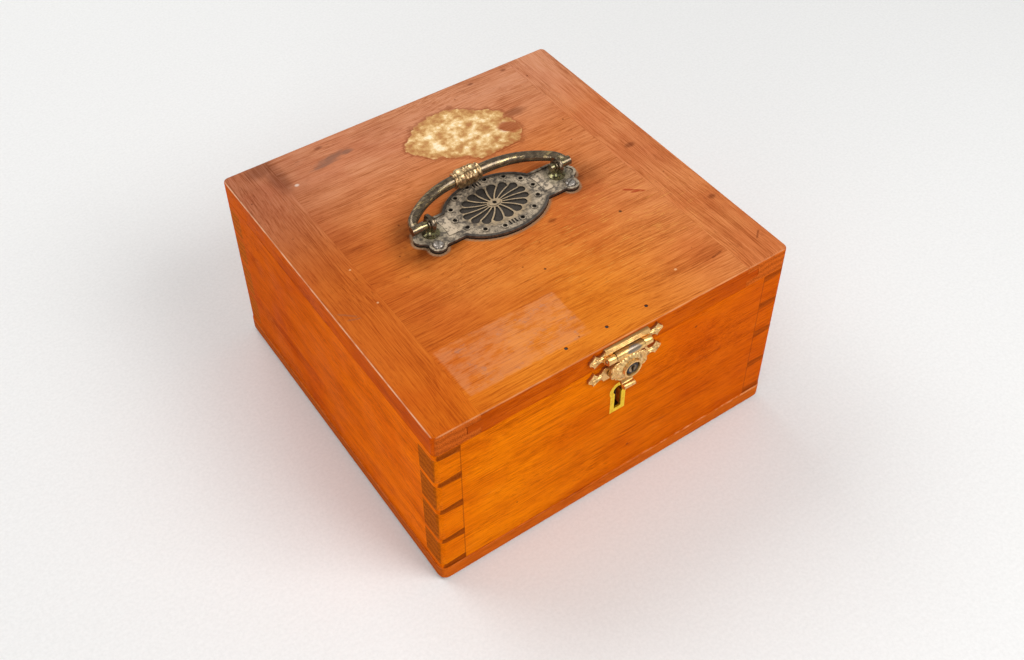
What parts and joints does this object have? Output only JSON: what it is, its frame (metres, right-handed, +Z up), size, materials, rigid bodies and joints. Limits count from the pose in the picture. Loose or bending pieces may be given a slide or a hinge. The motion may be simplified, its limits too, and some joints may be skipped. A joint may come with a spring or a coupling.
{
  "type": "coin display box",
  "caption": "Dovetailed wooden coin box with breadboard-ended hinged lid, brass bail handle, hasp lock, inlaid keyhole plate and lift-out divided trays",
  "frame": {"origin": "centre of the underside of the base board, on the surface the box stands on", "axes": "+Z up; the front with the hasp and keyhole faces -Y; +X is the right-hand side seen from the front"},
  "size_m": [0.2042, 0.2152, 0.1242],
  "materials": {
    "case_wood": "shellacked cedar, orange brown, satin gloss with dark end grain",
    "lid_wood": "shellacked cedar, redder and worn, satin with scratches",
    "antique_brass": "darkened cast brass, grime in the hollows, bright on the worn edges",
    "dark_steel": "dull grey steel",
    "latch_brass": "pressed brass, lightly tarnished",
    "keyhole_brass": "yellow brass, polished flush",
    "hinge_brass": "tarnished brass",
    "lock_steel": "plain sheet steel",
    "tray_wood": "dark oiled mahogany",
    "baize": "dark green woollen baize"
  },
  "bodies": {
    "case": {"front_board": "case_wood", "back_board": "case_wood", "left_board": "case_wood", "right_board": "case_wood", "base_board": "case_wood", "base_screws": "dark_steel", "lock_screws": "dark_steel", "catch_plate": "latch_brass", "catch_plate_nails": "latch_brass", "escutcheon": "keyhole_brass", "case_hinge_leaf_left": "hinge_brass", "case_hinge_leaf_right": "hinge_brass", "hinge_pin_left": "hinge_brass", "hinge_pin_right": "hinge_brass", "case_hinge_screws": "hinge_brass", "lock_case": "lock_steel", "lock_cover": "lock_steel", "tray_1_floor": "tray_wood", "tray_1_rails": "tray_wood", "tray_1_dividers": "tray_wood", "tray_2_floor": "tray_wood", "tray_2_rails": "tray_wood", "tray_2_dividers": "tray_wood", "tray_3_floor": "tray_wood", "tray_3_rails": "tray_wood", "tray_3_dividers": "tray_wood", "tray_4_floor": "tray_wood", "tray_4_rails": "tray_wood", "tray_4_dividers": "tray_wood", "floor_lining": "baize", "tray_1_baize": "baize", "tray_2_baize": "baize", "tray_3_baize": "baize", "tray_4_baize": "baize"},
    "lid": {"lid_panel": "lid_wood", "lid_cleat_left": "lid_wood", "lid_cleat_right": "lid_wood", "lid_hinge_leaf_left": "hinge_brass", "lid_hinge_leaf_right": "hinge_brass", "lid_hinge_screws": "hinge_brass", "handle_backplate": "antique_brass", "handle_post_left": "antique_brass", "handle_post_right": "antique_brass", "handle_screws": "dark_steel", "latch_plate": "latch_brass", "latch_plate_nails": "latch_brass", "hasp_pin": "latch_brass", "link_plate": "lock_steel", "link_pins": "dark_steel"},
    "bail": {"handle_bail": "antique_brass", "handle_ferrule": "antique_brass"},
    "hasp": {"hasp": "latch_brass"},
    "hasp_lock": {"hasp_plug": "latch_brass", "hasp_cam": "latch_brass"},
    "bolt": {"lock_bolt": "lock_steel"}
  },
  "joints": [
    {"name": "lid_hinge", "type": "hinge", "parent": "case", "child": "lid", "pos_m": [0, 0.104, 0.0981], "axis": [-1, 0, 0], "range_deg": [0, 180]},
    {"name": "bail_swing", "type": "hinge", "parent": "lid", "child": "bail", "pos_m": [0.0022, 0.0041, 0.119], "axis": [1, 0, 0], "range_deg": [0, 180]},
    {"name": "hasp_hinge", "type": "hinge", "parent": "lid", "child": "hasp", "pos_m": [0.0011, -0.1044, 0.104], "axis": [-1, 0, 0], "range_deg": [0, 140]},
    {"name": "hasp_lock_turn", "type": "hinge", "parent": "hasp", "child": "hasp_lock", "pos_m": [0.0011, -0.106, 0.0951], "axis": [0, -1, 0], "range_deg": [0, 90]},
    {"name": "bolt_slide", "type": "slide", "parent": "case", "child": "bolt", "axis": [1, 0, 0], "range_m": [0, 0.0045]}
  ]
}
